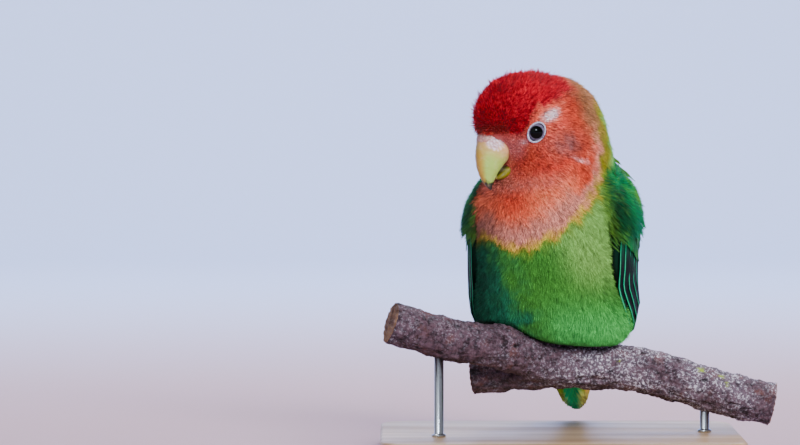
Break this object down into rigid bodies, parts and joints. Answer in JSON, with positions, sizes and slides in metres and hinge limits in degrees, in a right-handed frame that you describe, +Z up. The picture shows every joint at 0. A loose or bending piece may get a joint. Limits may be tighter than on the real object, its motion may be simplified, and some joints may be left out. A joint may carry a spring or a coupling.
{
  "type": "peach faced lovebird on perch with display stand",
  "caption": "Still life-size model of a small perched parrot with turned head, folded wings and hanging tail, gripping a cut length of branch on a plain display stand.",
  "frame": {"origin": "centre of the underside of the stand's base, under the bird", "axes": "+Z up; the bird's breast faces -Y and its left side is at +X; the perch runs along X"},
  "size_m": [0.1364, 0.1161, 0.131],
  "materials": {
    "head_plumage": "soft short feathers",
    "bib_plumage": "soft short feathers",
    "body_plumage": "soft fluffed feathers",
    "wing_feathers": "smooth flight feathers with a slight sheen",
    "tail_feathers": "smooth tail feathers",
    "foot_skin": "scaled grey skin with dark claws",
    "bill_horn": "semi-gloss horn, dark at the tip",
    "bill_horn_lower": "semi-gloss horn",
    "cere_skin": "dry bare skin",
    "eye": "wet gloss",
    "lid_skin": "bare white skin",
    "bark": "rough mottled bark",
    "stand_wood": "satin",
    "stand_steel": "satin"
  },
  "bodies": {
    "root": {"head": "head_plumage", "neck": "bib_plumage", "torso": "body_plumage", "wing_left": "wing_feathers", "wing_right": "wing_feathers", "tail": "tail_feathers", "leg_left": "body_plumage", "leg_right": "body_plumage", "foot_left": "foot_skin", "foot_right": "foot_skin", "bill_upper": "bill_horn", "bill_lower": "bill_horn_lower", "cere": "cere_skin", "eye_left": "eye", "eye_right": "eye", "eyelids_left": "lid_skin", "eyelids_right": "lid_skin", "perch": "bark", "stand_base": "stand_wood", "stand_rod_left": "stand_steel", "stand_rod_right": "stand_steel"}
  },
  "joints": []
}
